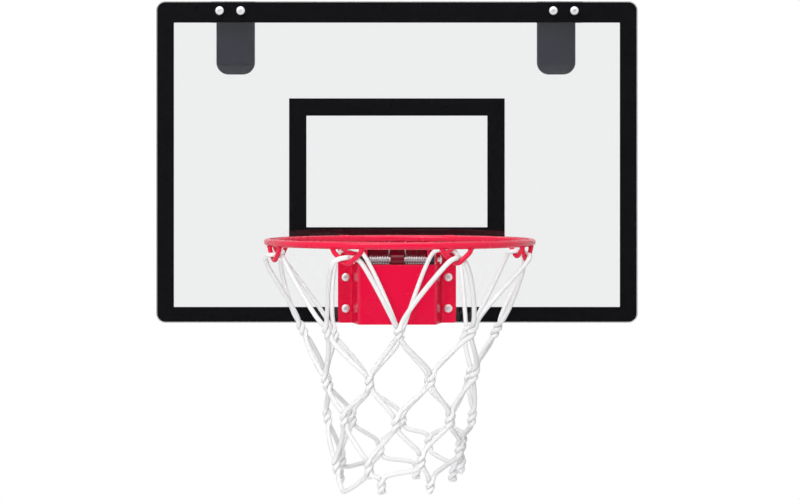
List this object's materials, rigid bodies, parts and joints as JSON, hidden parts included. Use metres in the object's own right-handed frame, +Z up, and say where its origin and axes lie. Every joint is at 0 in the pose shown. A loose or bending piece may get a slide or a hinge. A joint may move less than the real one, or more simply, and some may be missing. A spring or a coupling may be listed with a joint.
{
  "type": "basketball hoop",
  "caption": "Over-the-door mini basketball hoop: clear backboard with printed border and target, door hangers with foam pads, sprung tilting steel rim, wire hooks and knotted cord net.",
  "frame": {"origin": "on the door's top front edge, midway between the two hangers, where the hoop hangs", "axes": "+X to the right for someone facing the hoop, +Y back through the door, +Z up; the hoop faces -Y"},
  "size_m": [0.457, 0.3202, 0.438],
  "materials": {
    "clear_sheet": "clear polycarbonate",
    "black_print": "glossy black print",
    "black_metal": "satin black powder coat",
    "foam": "closed-cell foam",
    "red_metal": "gloss red powder coat",
    "zinc": "bright zinc",
    "spring_steel": "bright spring wire",
    "plastic": "black nylon",
    "white_cord": "braided polyester cord"
  },
  "bodies": {
    "backboard": {"backboard_sheet": "clear_sheet", "border_print": "black_print", "target_print": "black_print", "hanger_left": "black_metal", "hanger_right": "black_metal", "front_pad_left": "foam", "front_pad_right": "foam", "rear_pad_left": "foam", "rear_pad_right": "foam", "bumper_left": "foam", "bumper_right": "foam", "hanger_bolt_1": "zinc", "hanger_bolt_2": "zinc", "hanger_bolt_3": "zinc", "hanger_bolt_4": "zinc", "hanger_nut_1": "zinc", "hanger_nut_2": "zinc", "hanger_nut_3": "zinc", "hanger_nut_4": "zinc", "rim_bracket": "red_metal", "bracket_bolt_1": "zinc", "bracket_bolt_2": "zinc", "bracket_bolt_3": "zinc", "bracket_bolt_4": "zinc", "bracket_washer_1": "zinc", "bracket_washer_2": "zinc", "bracket_washer_3": "zinc", "bracket_washer_4": "zinc", "bracket_nut_1": "zinc", "bracket_nut_2": "zinc", "bracket_nut_3": "zinc", "bracket_nut_4": "zinc", "hinge_pin": "zinc", "pin_clip": "zinc", "hinge_bush_left": "plastic", "hinge_bush_right": "plastic", "torsion_spring_left": "spring_steel", "torsion_spring_right": "spring_steel"},
    "rim": {"rim_ring": "red_metal", "rim_plate": "red_metal", "net_hook_1": "red_metal", "net_hook_2": "red_metal", "net_hook_3": "red_metal", "net_hook_4": "red_metal", "net_hook_5": "red_metal", "net_hook_6": "red_metal", "net_hook_7": "red_metal", "net_hook_8": "red_metal"},
    "net": {"net": "white_cord"}
  },
  "joints": [
    {"name": "rim_tilt", "type": "hinge", "parent": "backboard", "child": "rim", "pos_m": [0, -0.0307, -0.2413], "axis": [1, 0, 0], "range_deg": [0, 25], "stiffness_Nm_per_rad": 4, "springref_deg": -34.38, "deforming": ["torsion_spring_left", "torsion_spring_right"]},
    {"name": "net_hang", "type": "hinge", "parent": "rim", "child": "net", "pos_m": [0, -0.1507, -0.2353], "axis": [1, 0, 0], "range_deg": [-25, 0], "deforming": ["net"]}
  ],
  "couplings": [
    {"joint": "net_hang", "follows": "rim_tilt", "ratio": -1}
  ]
}
